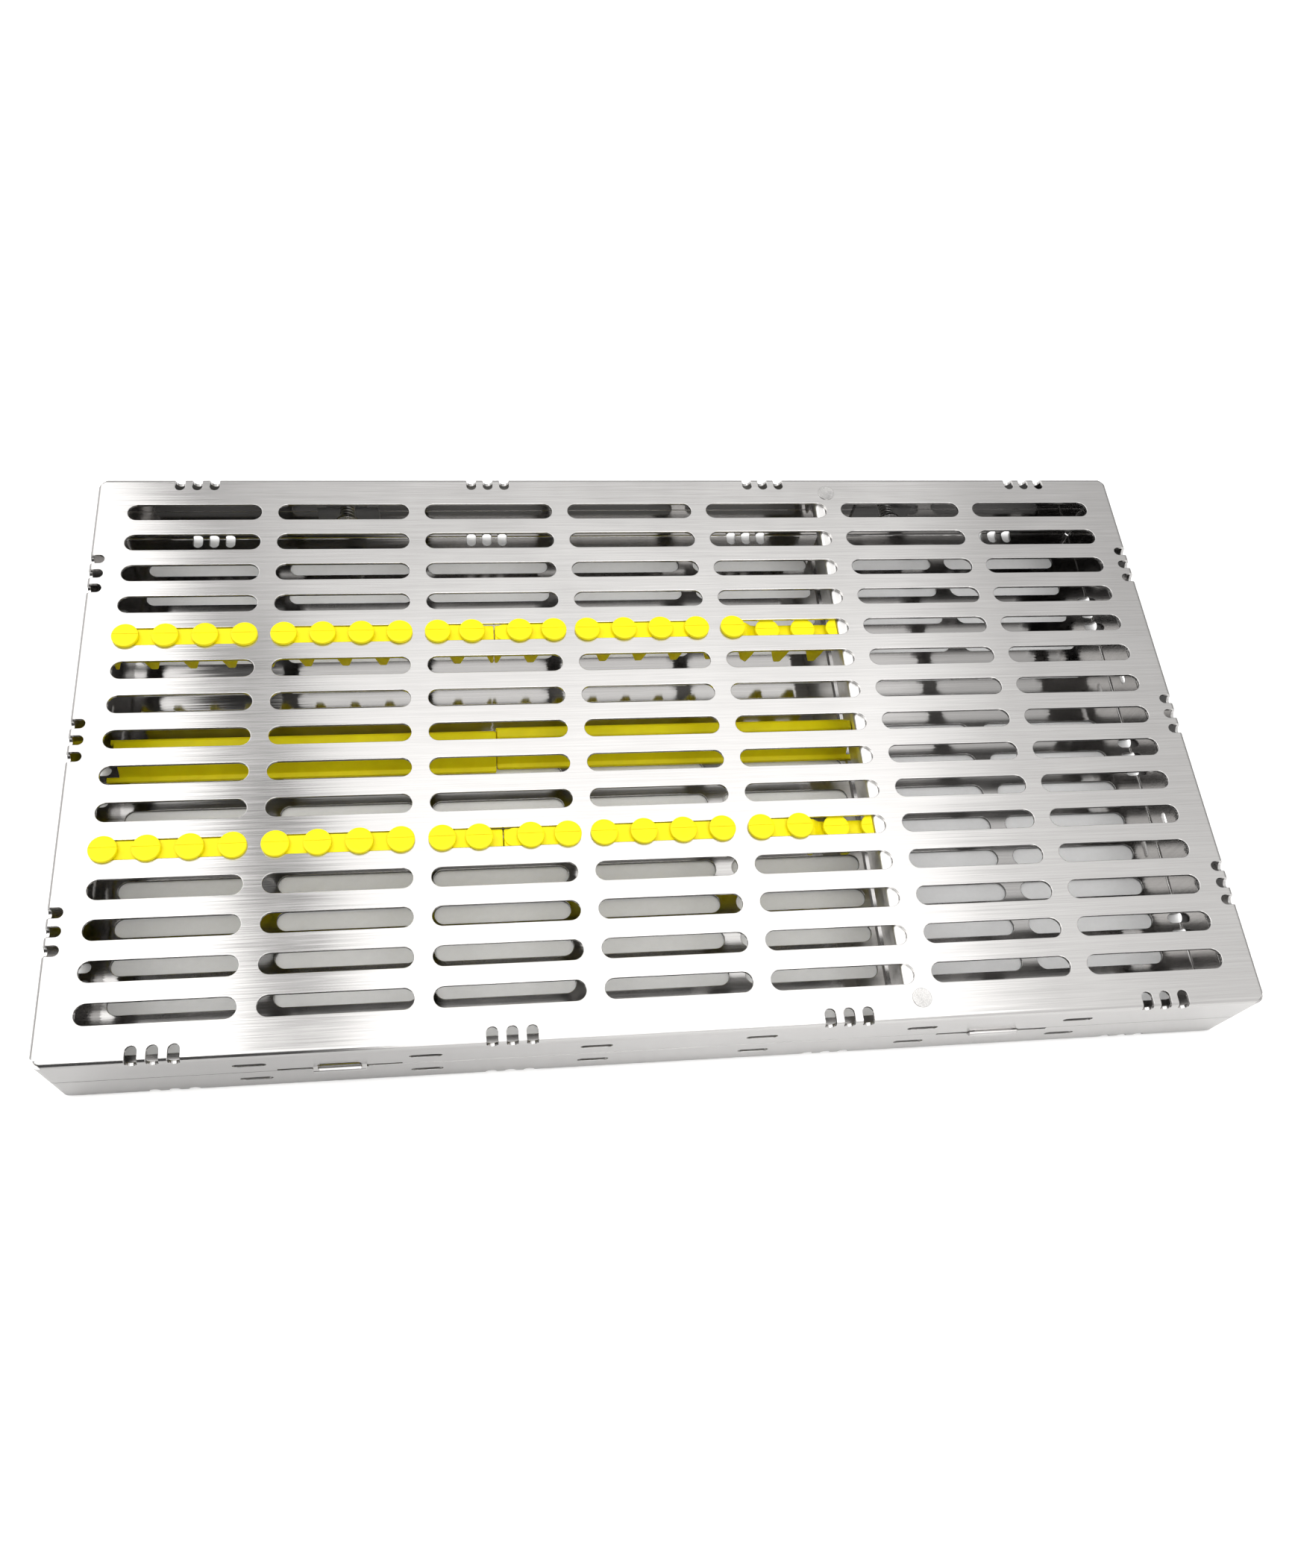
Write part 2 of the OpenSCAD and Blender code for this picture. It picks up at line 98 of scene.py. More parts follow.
class Graph:
    """Short calls for building a node tree. A value is a number, a tuple or another node's output."""

    def __init__(self, tree):
        self.tree = tree

    def node(self, kind, inputs=None, **settings):
        made = self.tree.nodes.new(kind)
        for key, value in settings.items():
            setattr(made, key, value)
        for key, value in (inputs or {}).items():
            self.feed(made.inputs[key], value)
        return made

    def feed(self, socket, value):
        if isinstance(value, bpy.types.NodeSocket):
            self.tree.links.new(value, socket)
        else:
            socket.default_value = value

    def math(self, operation, *values, clamp=False):
        inputs = dict(enumerate(values))
        return self.node("ShaderNodeMath", inputs, operation=operation, use_clamp=clamp).outputs[0]

    def vector(self, operation, *values):
        made = self.node("ShaderNodeVectorMath", dict(enumerate(values)), operation=operation)
        return made.outputs["Value" if operation == "DOT_PRODUCT" else "Vector"]

    def split(self, vector):
        return self.node("ShaderNodeSeparateXYZ", {0: vector}).outputs

    def join(self, x, y, z):
        return self.node("ShaderNodeCombineXYZ", {0: x, 1: y, 2: z}).outputs[0]

    def blend(self, share, low, high):
        span = self.math("SUBTRACT", high, low)
        return self.math("MULTIPLY_ADD", share, span, low)

    def span(self, value, low, high, to_low=0.0, to_high=1.0, smooth=True):
        inputs = {0: value, 1: low, 2: high, 3: to_low, 4: to_high}
        kind = "SMOOTHSTEP" if smooth else "LINEAR"
        return self.node("ShaderNodeMapRange", inputs, interpolation_type=kind).outputs[0]

    def noise(self, vector, scale=1.0, detail=2.0, roughness=0.5):
        inputs = {"Vector": vector, "Scale": scale, "Detail": detail, "Roughness": roughness}
        return self.node("ShaderNodeTexNoise", inputs).outputs["Fac"]

    def tint(self, share, low, high):
        inputs = {"Factor": share, "A": (*low, 1.0), "B": (*high, 1.0)}
        made = self.node("ShaderNodeMix", data_type="RGBA", clamp_factor=False)
        for name, value in inputs.items():
            sockets = [s for s in made.inputs if s.name == name and s.enabled]
            self.feed(sockets[0], value)
        return [s for s in made.outputs if s.enabled][0]

    def bump(self, height, distance, normal=None):
        inputs = {"Height": height, "Distance": distance, "Strength": 1.0}
        if normal is not None:
            inputs["Normal"] = normal
        return self.node("ShaderNodeBump", inputs).outputs[0]


def new_material(name):
    material = bpy.data.materials.new(name)
    material.use_nodes = True
    return material, Graph(material.node_tree), material.node_tree.nodes["Principled BSDF"]


# ---------------------------------------------------------------- materials

def brushed_steel(name, dark, light, roughness, stretch, edge_radius):
    """Stainless sheet brushed along X. The grain follows the folds, a painted highlight brightens the
    edges, and painted shade darkens the steel inside the case.
    """
    material, g, surface = new_material(name)
    coords = g.node("ShaderNodeTexCoord")
    x, y, z = g.split(coords.outputs["Object"])
    facing = g.math("ABSOLUTE", g.split(coords.outputs["Normal"])[0])
    on_end = g.span(facing, 0.6, 0.8)
    along = g.blend(on_end, x, z)
    deep = g.blend(on_end, z, x)

    def grain(long, fine, detail):
        stretched = g.vector("MULTIPLY", g.join(along, y, deep), (long, fine, fine))
        return g.noise(stretched, 1.0, detail, 0.6)

    def to_world(vector):
        turn = g.node("ShaderNodeVectorTransform", {0: vector}, vector_type="VECTOR")
        turn.convert_from, turn.convert_to = "OBJECT", "WORLD"
        return turn.outputs[0]

    streaks = grain(24.0, 1700.0, 3.0)
    hairlines = grain(60.0, 5200.0, 2.0)
    leaning = grain(16.0, 2200.0, 3.0)
    smudges = g.noise(coords.outputs["Object"], 22.0, 3.0, 0.6)
    brushed = g.blend(0.45, streaks, hairlines)

    bevel = g.node("ShaderNodeBevel", {"Radius": edge_radius}, samples=4).outputs[0]
    true_normal = g.node("ShaderNodeNewGeometry").outputs["True Normal"]
    edge = g.span(g.vector("DOT_PRODUCT", bevel, true_normal), 0.995, 0.8)

    shade = g.math("ADD", g.span(brushed, 0.3, 0.7, -0.12, 0.12), g.span(smudges, 0.3, 0.7, 0.44, 0.56))
    # Painted highlight: the colour is made lighter near edges, where the bevel normal turns away from the
    # face.
    shade = g.math("ADD", shade, g.math("MULTIPLY", edge, 0.35), clamp=True)
    height = g.math("SUBTRACT", z, CASE_HEIGHT / 2)
    inside_shade_and_smoothing = 1.0
    for place, half in ((x, INSIDE_X), (y, INSIDE_Y), (height, INSIDE_Z)):
        within = g.span(g.math("ABSOLUTE", place), half, half - SHEET / 2)
        inside_shade_and_smoothing = g.math("MULTIPLY", inside_shade_and_smoothing, within)
    # Painted shade: the steel inside the case is painted darker.
    shade = g.math("MULTIPLY_ADD", inside_shade_and_smoothing, -INSIDE_PAINTED_SHADE, shade)
    g.feed(surface.inputs["Base Color"], g.tint(shade, dark, light))
    rough = g.math("ADD", roughness, g.span(brushed, 0.3, 0.7, -0.02, 0.02))
    rough = g.math("ADD", rough, g.span(smudges, 0.35, 0.7, -0.01, 0.02))
    rough = g.math("MULTIPLY", rough, g.span(edge, 0.0, 1.0, 1.0, 0.75))
    rough = g.math("MULTIPLY", rough, g.span(inside_shade_and_smoothing, 0.0, 1.0, 1.0, 1.0 - INSIDE_SMOOTHER))
    g.feed(surface.inputs["Roughness"], rough)
    g.feed(surface.inputs["Metallic"], 1.0)
    g.feed(surface.inputs["Anisotropic"], stretch)

    grain_way = g.join(g.math("SUBTRACT", 1.0, on_end), 0.0, on_end)
    across = g.vector("CROSS_PRODUCT", coords.outputs["Normal"], grain_way)
    g.feed(surface.inputs["Tangent"], to_world(across))
    lean = g.span(leaning, 0.3, 0.7, -LEAN, LEAN)
    tip = g.vector("MULTIPLY", to_world(grain_way), g.join(lean, lean, lean))
    tipped = g.vector("ADD", g.bump(brushed, 0.0022 * MM, bevel), tip)
    g.feed(surface.inputs["Normal"], g.vector("NORMALIZE", tipped))
    return material


def turned_steel(name, dark, light, roughness):
    """Small turned and tumbled hardware: fine random scratches and patches."""
    material, g, surface = new_material(name)
    coords = g.node("ShaderNodeTexCoord").outputs["Object"]
    scratches = g.noise(coords, 2600.0, 4.0, 0.7)
    patches = g.noise(coords, 180.0, 3.0, 0.6)
    shade = g.blend(0.5, scratches, patches)
    g.feed(surface.inputs["Base Color"], g.tint(g.span(shade, 0.3, 0.7), dark, light))
    g.feed(surface.inputs["Metallic"], 1.0)
    g.feed(surface.inputs["Roughness"], g.span(patches, 0.3, 0.7, roughness - 0.06, roughness + 0.08))
    bevel = g.node("ShaderNodeBevel", {"Radius": 0.15 * MM}, samples=4).outputs[0]
    g.feed(surface.inputs["Normal"], g.bump(scratches, 0.006 * MM, bevel))
    return material


def moulded_silicone(name):
    """Lemon silicone: slightly see-through, soft sheen, faint flow marks and a dusting of fine specks."""
    material, g, surface = new_material(name)
    coords = g.node("ShaderNodeTexCoord").outputs["Object"]
    flow = g.noise(coords, 140.0, 3.0, 0.55)
    skin = g.noise(coords, 3200.0, 2.0, 0.5)
    specks = g.span(g.noise(coords, 900.0, 1.0, 0.5), 0.7, 0.78)
    colour = g.tint(g.span(flow, 0.3, 0.7), (0.87, 0.745, 0.002), (0.94, 0.82, 0.003))
    shaded = g.node("ShaderNodeMix", data_type="RGBA", blend_type="MULTIPLY")
    sockets = [s for s in shaded.inputs if s.enabled]
    g.feed(sockets[0], g.math("MULTIPLY", specks, 0.25))
    g.feed(sockets[1], colour)
    g.feed(sockets[2], (0.82, 0.68, 0.4, 1.0))
    g.feed(surface.inputs["Base Color"], [s for s in shaded.outputs if s.enabled][0])
    g.feed(surface.inputs["Roughness"], g.span(flow, 0.3, 0.7, 0.34, 0.46))
    g.feed(surface.inputs["Subsurface Weight"], 0.18)
    g.feed(surface.inputs["Subsurface Radius"], (1.0, 0.55, 0.05))
    g.feed(surface.inputs["Subsurface Scale"], 0.8 * MM)
    g.feed(surface.inputs["Specular IOR Level"], 0.22)
    g.feed(surface.inputs["Normal"], g.bump(skin, 0.008 * MM, g.bump(flow, 0.12 * MM)))
    return material


CASE_STEEL = brushed_steel("case_steel", (0.44, 0.432, 0.426), (0.74, 0.728, 0.722), 0.17, 0.8, 0.25 * MM)
INNER_STEEL = brushed_steel("inner_steel", (0.42, 0.413, 0.406), (0.72, 0.71, 0.70), 0.15, 0.6, 0.2 * MM)
DIVIDER_STEEL = turned_steel("divider_steel", (0.78, 0.77, 0.76), (0.90, 0.89, 0.88), 0.36)
HARDWARE_STEEL = turned_steel("hardware_steel", (0.36, 0.355, 0.35), (0.70, 0.69, 0.68), 0.24)
SPRING_STEEL = turned_steel("spring_steel", (0.30, 0.30, 0.295), (0.62, 0.615, 0.60), 0.30)
SILICONE = moulded_silicone("silicone")


# ---------------------------------------------------------------- mesh building

def smooth_by_angle(obj, degrees):
    """Shades an object smooth but keeps edges sharper than the angle."""
    limit = math.radians(degrees)
    mesh = obj.data
    sharp = bmesh.new()
    sharp.from_mesh(mesh)
    for face in sharp.faces:
        face.smooth = True
    for edge in sharp.edges:
        edge.smooth = len(edge.link_faces) == 2 and edge.calc_face_angle(0.0) < limit
    sharp.to_mesh(mesh)
    sharp.free()


def loft(name, rings):
    """A closed mesh through rings of points, capped at both ends. All rings have equally many points."""
    mesh = bpy.data.meshes.new(name)
    built = bmesh.new()
    made = [[built.verts.new(point) for point in ring] for ring in rings]
    count = len(rings[0])
    for low, high in zip(made, made[1:]):
        for i in range(count):
            j = (i + 1) % count
            built.faces.new((low[i], low[j], high[j], high[i]))
    built.faces.new(list(reversed(made[0])))
    built.faces.new(made[-1])
    bmesh.ops.recalc_face_normals(built, faces=built.faces)
    built.to_mesh(mesh)
    built.free()
    obj = bpy.data.objects.new(name, mesh)
    bpy.context.scene.collection.objects.link(obj)
    return obj


def fuse(name, parts, cuts=()):
    """One clean solid from overlapping parts, less the cuts."""
    base = parts[0]
    for operation, others in (("UNION", parts[1:]), ("DIFFERENCE", cuts)):
        if not others:
            continue
        group = bpy.data.collections.new(name + "_" + operation.lower())
        for other in others:
            group.objects.link(other)
        step = base.modifiers.new(operation.lower(), "BOOLEAN")
        step.operand_type = "COLLECTION"
        step.collection = group
        step.operation = operation
        step.solver = "EXACT"
    graph = bpy.context.evaluated_depsgraph_get()
    mesh = bpy.data.meshes.new_from_object(base.evaluated_get(graph))
    for used in (*parts, *cuts):
        bpy.data.objects.remove(used)
    obj = bpy.data.objects.new(name, mesh)
    mesh.name = name
    bpy.context.scene.collection.objects.link(obj)
    return obj


def fillet(corners, radius, steps=4):
    """A closed outline with each corner rounded. A corner is (x, y) or (x, y, its own radius)."""
    outline = []
    count = len(corners)
    for i, corner in enumerate(corners):
        here = Vector(corner[:2])
        own = corner[2] if len(corner) > 2 else radius
        before = (Vector(corners[i - 1][:2]) - here).normalized()
        after = (Vector(corners[(i + 1) % count][:2]) - here).normalized()
        half = before.angle(after) / 2
        if own <= 0 or half > math.radians(89):
            outline.append(here)
            continue
        reach = own / math.tan(half)
        centre = here + (before + after).normalized() * own / math.sin(half)
        start = here + before * reach - centre
        end = here + after * reach - centre
        for k in range(steps + 1):
            share = k / steps
            outline.append(centre + start.slerp(end, share) * own)
    return outline


def box_ring(x, half_y, low, high, radius, steps=3):
    """A rounded rectangle across X."""
    corners = [(half_y, low), (half_y, high), (-half_y, high), (-half_y, low)]
    return [Vector((x, p.x, p.y)) for p in fillet(corners, radius, steps)]


def obround_ring(x0, x1, y, half, z, steps=10):
    """A slot outline at height z, from x0 to x1 over its round ends."""
    ring = []
    for centre, start in ((x1 - half, -90), (x0 + half, 90)):
        for k in range(steps + 1):
            angle = math.radians(start + 180 * k / steps)
            ring.append(Vector((centre + half * math.cos(angle), y + half * math.sin(angle), z)))
    return ring


def smooth_step(value, low, high):
    share = min(1.0, max(0.0, (value - low) / (high - low)))
    return share * share * (3 - 2 * share)


# ---------------------------------------------------------------- silicone combs

def lathe(name, centre, profile, sides=48):
    """A turned solid about an upright axis, from (radius, height) points."""
    rings = []
    for radius, height in profile:
        turn = [2 * math.pi * k / sides for k in range(sides)]
        rings.append([centre + Vector((radius * math.cos(a), radius * math.sin(a), height)) for a in turn])
    return loft(name, rings)


def comb_underside(first_x, count):
    """Points (x, height under the rail top) along the notched underside, over all cells."""
    points = []
    tip = COMB_DEPTH - SHEET
    bevel = 0.35 * MM
    flank = (PITCH - TIP_WIDTH) / 2
    centre_z = -NOTCH_TOP - NOTCH_RADIUS
    outer, inner = flank + 0.25 * MM, flank - 0.1 * MM
    for i in range(count):
        x = first_x + i * PITCH
        points += [(x - PITCH / 2, -tip), (x - outer, -tip), (x - inner, -tip + bevel)]
        for k in range(13):
            angle = math.pi * (1 - k / 12)
            points.append((x + NOTCH_RADIUS * math.cos(angle), centre_z + NOTCH_RADIUS * math.sin(angle)))
        points += [(x + inner, -tip + bevel), (x + outer, -tip)]
    points.append((first_x + (count - 0.5) * PITCH, -tip))
    return points


def comb(node, first_x, spread_at, unseated):
    """One comb half: the notched rail, the strip that fills the slots and the slit buttons on top."""
    low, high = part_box(node)
    middle = (low.y + high.y) / 2
    panel_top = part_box("top_shell")[1].z
    rail_top = panel_top - SHEET
    half_y = COMB_THICKNESS / 2
    button_xs = [first_x + i * PITCH + spread_at(i) for i in range(BUTTONS_PER_HALF)]
    seated = BUTTONS_PER_HALF - unseated
    reach = 1.02 * BUTTON_RADIUS

    def sunk(x):
        if not unseated:
            return 0.0
        return UNSEATED_DROP * smooth_step(x, button_xs[seated - 1] + reach, button_xs[seated] - reach)

    inset = 0.45 * MM
    rings = []
    inner = [p for p in comb_underside(first_x, BUTTONS_PER_HALF) if low.x + inset < p[0] < high.x - inset]
    ends = [(low.x, inner[0][1]), (low.x + inset / 3, inner[0][1])]
    tail = [(high.x - inset / 3, inner[-1][1]), (high.x, inner[-1][1])]
    for x, bottom in ends + inner + tail:
        from_round = 1 - min(1.0, (x - low.x) / inset, (high.x - x) / inset)
        shrink = inset * (1 - math.sqrt(max(0.0, 1 - from_round ** 2)))
        top = rail_top - sunk(x) - shrink
        rings.append(box_ring(x, half_y - shrink, rail_top + bottom - sunk(x) + shrink, top, 0.5 * MM))
    for ring in rings:
        for point in ring:
            point.y += middle
    parts = [loft(node + "_rail", rings)]

    half = SLOT_WIDTH / 2 - SLOT_CLEAR
    strip_top = panel_top - STRIP_SUNK
    last_strip = button_xs[seated - 1] + BUTTON_RADIUS
    for column in range(7):
        x0 = (column - 3) * SLOT_PITCH_X - SLOT_LENGTH / 2 + SLOT_CLEAR
        x1 = x0 + SLOT_LENGTH - 2 * SLOT_CLEAR
        x0, x1 = max(x0, low.x), min(x1, high.x, last_strip)
        if x1 - x0 < 2 * half:
            continue
        levels = ((rail_top - 0.6 * MM, 0.0), (strip_top - 0.15 * MM, 0.0), (strip_top, 0.15 * MM))
        outline = [obround_ring(x0 + e, x1 - e, middle, half - e, z) for z, e in levels]
        parts.append(loft(node + "_strip", outline))

    cuts = []
    for i, x in enumerate(button_xs):
        base = Vector((x, middle, panel_top - sunk(x)))
        r, h = BUTTON_RADIUS, BUTTON_HEIGHT
        neck = half - 0.05 * MM
        profile = [(neck, -SHEET - 0.6 * MM), (neck, 0.02 * MM), (r - 0.12 * MM, 0.02 * MM), (r, 0.14 * MM),
                   (r, h - 0.3 * MM), (r - 0.08 * MM, h - 0.12 * MM), (r - 0.3 * MM, h - 0.02 * MM),
                   (r - 0.8 * MM, h), (0.5 * r, h), (0.1 * r, h)]
        parts.append(lathe(node + "_button", base, profile))
        cuts.append(slit(node, base))
    piece = fuse(node + "_silicone", parts, cuts)
    trim_past(piece, high.x)
    return finish_silicone(piece, "top", node)


def slit(node, base):
    """The parting slit across the top of a button, along X."""
    reach = 1.1 * BUTTON_RADIUS
    top = base.z + BUTTON_HEIGHT
    half = SLIT_WIDTH / 2
    rings = []
    for x in (-reach, reach):
        low = top - SLIT_DEPTH
        section = [(-half, low), (half, low), (1.6 * half, top + MM), (-1.6 * half, top + MM)]
        rings.append([Vector((base.x + x, base.y + 0.35 * MM + y, z)) for y, z in section])
    return loft(node + "_slit", rings)


def trim_past(obj, x):
    """Cuts a piece off flat at a place along X and closes the cut."""
    cut = bmesh.new()
    cut.from_mesh(obj.data)
    plane = {"plane_co": (x, 0, 0), "plane_no": (1, 0, 0), "clear_outer": True}
    done = bmesh.ops.bisect_plane(cut, geom=cut.verts[:] + cut.edges[:] + cut.faces[:], **plane)
    rim = [e for e in done["geom_cut"] if isinstance(e, bmesh.types.BMEdge)]
    if rim:
        bmesh.ops.holes_fill(cut, edges=rim)
    cut.to_mesh(obj.data)
    cut.free()


def finish_silicone(piece, body, node):
    piece.data.materials.clear()
    piece.data.materials.append(SILICONE)
    smooth_by_angle(piece, 38)
    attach(piece, body)
    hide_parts(node)
    return piece


def build_combs():
    """Four comb halves. Next to the split the halves push their own buttons apart."""
    split_x = -SLOT_PITCH_X
    left_x = split_x - (BUTTONS_PER_HALF - 0.5) * PITCH
    right_x = split_x + 0.5 * PITCH
    last = BUTTONS_PER_HALF - 1
    shift_left = lambda i: -SPREAD if i == last else 0.0
    shift_right = lambda i: {0: 1.8 * SPREAD, 1: SPREAD}.get(i, 0.0)
    comb("rear_comb_left", left_x, shift_left, 0)
    comb("front_comb_left", left_x, shift_left, 0)
    comb("rear_comb_right", right_x, shift_right, 3)
    comb("front_comb_right", right_x, shift_right, 2)


# ---------------------------------------------------------------- hold-down bar

def hold_down_bar(node):
    """One half of the sloped bar on the floor, with its foot, two toes and the ribs in the slots."""
    low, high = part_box(node)
    floor = low.z + SHEET
    middle = (low.y + high.y) / 2
    left = node.endswith("left")
    toe_length = 4 * MM
    toe_width = 1.8 * MM
    foot_half = 8 * MM
    foot_top = floor + 1.2 * MM
    body_half = 6.3 * MM
    ridge_half = 1.7 * MM
    start = low.x + toe_length if left else low.x
    end = high.x if left else high.x - toe_length
    section = [(-foot_half, floor, 0.0), (foot_half, floor, 0.0), (foot_half, foot_top, 0.4 * MM),
               (body_half, foot_top, 0.5 * MM), (ridge_half, high.z, MM), (-ridge_half, high.z, MM),
               (-body_half, foot_top, 0.5 * MM), (-foot_half, foot_top, 0.4 * MM)]
    outline = fillet(section, 0.0, 5)
    inset = 0.5 * MM
    rings = []
    for x, shrink in ((start, inset), (start + 0.15 * MM, 0.3 * inset), (start + inset, 0.0),
                      (end - inset, 0.0), (end - 0.15 * MM, 0.3 * inset), (end, inset)):
        ring = []
        for p in outline:
            lift = (p.y - floor) / (high.z - floor)
            ring.append(Vector((x, middle + p.x * (1 - shrink / foot_half), p.y - shrink * lift)))
        rings.append(ring)
    parts = [loft(node + "_bar", rings)]
    toe = (low.x, start + MM) if left else (end - MM, high.x)
    for side in (-1, 1):
        across = middle + side * (foot_half - toe_width / 2)
        rings = [box_ring(x, toe_width / 2, floor, foot_top, 0.3 * MM) for x in toe]
        for ring in rings:
            for point in ring:
                point.y += across
        parts.append(loft(node + "_toe", rings))
    half = SLOT_WIDTH / 2 - SLOT_CLEAR
    for column in range(7):
        x0 = (column - 3) * SLOT_PITCH_X - SLOT_LENGTH / 2 + SLOT_CLEAR
        x1 = x0 + SLOT_LENGTH - 2 * SLOT_CLEAR
        x0, x1 = max(x0, start), min(x1, end)
        if x1 - x0 > 2 * half:
            rings = [obround_ring(x0, x1, PITCH, half, z) for z in (low.z, floor + 0.5 * MM)]
            parts.append(loft(node + "_rib", rings))
    piece = fuse(node + "_silicone", parts)
    return finish_silicone(piece, "bottom", node)


# ---------------------------------------------------------------- latch springs

def latch_spring(side):
    """A wound compression spring with closed end turns."""
    node = "latch_" + side + "_spring"
    low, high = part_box(node)
    centre = (low + high) / 2
    wire = 0.35 * MM
    coil = (high.x - low.x) / 2 - wire
    start = low.y + wire
    length = high.y - low.y - 2 * wire
    per_turn = 32
    total = (SPRING_TURNS + 1) * per_turn
    closed = 2 * wire
    rings = []
    for k in range(total + 1):
        turn = k / per_turn
        open_share = min(1.0, max(0.0, (turn - 0.75) / (SPRING_TURNS - 0.5)))
        lead = closed * 0.55
        along = lead * min(turn, 0.75) / 0.75 + (length - 2 * lead) * open_share
        along += lead * max(0.0, turn - SPRING_TURNS - 0.25) / 0.75
        angle = 2 * math.pi * turn
        out = Vector((math.cos(angle), 0, math.sin(angle)))
        here = Vector((centre.x, start + along, centre.z)) + out * coil
        ring = []
        for j in range(12):
            a = 2 * math.pi * j / 12
            ring.append(here + out * (wire * math.cos(a)) + Vector((0, wire * math.sin(a), 0)))
        rings.append(ring)
    piece = loft(node + "_coil", rings)
    piece.data.materials.append(SPRING_STEEL)
    smooth_by_angle(piece, 50)
    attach(piece, "top")
    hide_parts(node)
    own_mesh(piece)


# ---------------------------------------------------------------- carried-over metal parts

def dress(node, material, width, rounded=lambda point: True):
    """Gives a CAD part its finish and breaks its sharp edges: all of them, or those that rounded picks."""
    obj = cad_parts[node]
    mesh = obj.data
    mesh.materials.clear()
    mesh.materials.append(material)
    faces_at = {}
    for polygon in mesh.polygons:
        polygon.use_smooth = True
        for key in polygon.edge_keys:
            faces_at[key] = faces_at.get(key, 0) + 1
    if "custom_normal" in mesh.attributes:
        mesh.attributes.remove(mesh.attributes["custom_normal"])
    weights = mesh.attributes.new("bevel_weight_edge", "FLOAT", "EDGE")
    for edge in mesh.edges:
        edge.use_edge_sharp = faces_at[edge.key] == 1
        ends = [mesh.vertices[i].co for i in edge.vertices]
        if edge.use_edge_sharp and all(rounded(end) for end in ends):
            weights.data[edge.index].value = 1.0
    weld = obj.modifiers.new("join_faces", "WELD")
    weld.merge_threshold = 0.002 * MM
    round_off = obj.modifiers.new("edge_break", "BEVEL")
    round_off.width = width
    round_off.segments = 2
    round_off.limit_method = "WEIGHT"
    round_off.use_clamp_overlap = False
    round_off.harden_normals = True


def dress_metal():
    # All the slots lie within this half length and half width of the panels.
    slots_x, slots_y = 174 * MM, 92 * MM

    def slot_rim(point):
        faces = (0.0, SHEET, CASE_HEIGHT - SHEET, CASE_HEIGHT)
        flat = min(abs(point.z - face) for face in faces) < 0.01 * MM
        return flat and abs(point.x) < slots_x and abs(point.y) < slots_y

    dress("top_shell", CASE_STEEL, 0.12 * MM, slot_rim)
    dress("bottom_shell", CASE_STEEL, 0.12 * MM, slot_rim)
    dress("divider", DIVIDER_STEEL, 0.1 * MM)
    dress("divider_rivets", HARDWARE_STEEL, 0.06 * MM)
    for side in ("left", "right"):
        dress("latch_" + side + "_plate", INNER_STEEL, 0.1 * MM)
        dress("latch_" + side + "_stud", HARDWARE_STEEL, 0.08 * MM)
        dress("latch_" + side + "_washer", HARDWARE_STEEL, 0.08 * MM)


# ---------------------------------------------------------------- stage, light and camera

def build_floor():
    """White paper with a painted glow round the case for camera rays, as in a cut-out studio shot, and
    painted shade in reflections.
    """
    bpy.ops.mesh.primitive_plane_add(size=6.0, location=(0, 0, -0.0001))
    floor = bpy.context.object
    floor.name = "floor"
    material, g, surface = new_material("floor_paper")
    coords = g.node("ShaderNodeTexCoord").outputs["Object"]
    fibre = g.span(g.noise(coords, 400.0, 3.0, 0.6), 0.3, 0.7, 0.91, 0.95)
    x, y, _ = g.split(coords)
    fade = 4 * MM
    past_x, past_y = [
        g.span(g.math("ABSOLUTE", place), edge - fade, edge + fade)
        for place, edge in ((x, 182 * MM), (y, 102 * MM))
    ]
    outside = g.math("MAXIMUM", past_x, past_y)
    # Painted shade in reflections: the paper is painted darker towards the left and under the case.
    reflected_with_painted_shade = g.math("MULTIPLY", fibre, g.span(x, -0.14, 0.03, 0.72, 0.98))
    reflected_with_painted_shade = g.math("MULTIPLY", reflected_with_painted_shade, g.span(outside, 0.0, 1.0, 0.4, 1.0))
    path = g.node("ShaderNodeLightPath").outputs
    white = g.blend(path["Is Glossy Ray"], fibre, reflected_with_painted_shade)
    g.feed(surface.inputs["Base Color"], g.join(white, white, white))
    g.feed(surface.inputs["Roughness"], 0.9)
    g.feed(surface.inputs["Specular IOR Level"], 0.1)
    # Painted glow for camera rays: strong round the case and faint under it, so the paper reads as blown
    # white with hardly any shadow.
    painted_glow = g.math("MULTIPLY", g.span(outside, 0.0, 1.0, 0.08, 1.0), path["Is Camera Ray"])
    g.feed(surface.inputs["Emission Strength"], painted_glow)
    g.feed(surface.inputs["Emission Color"], (0.4, 0.4, 0.4, 1.0))
    floor.data.materials.append(material)


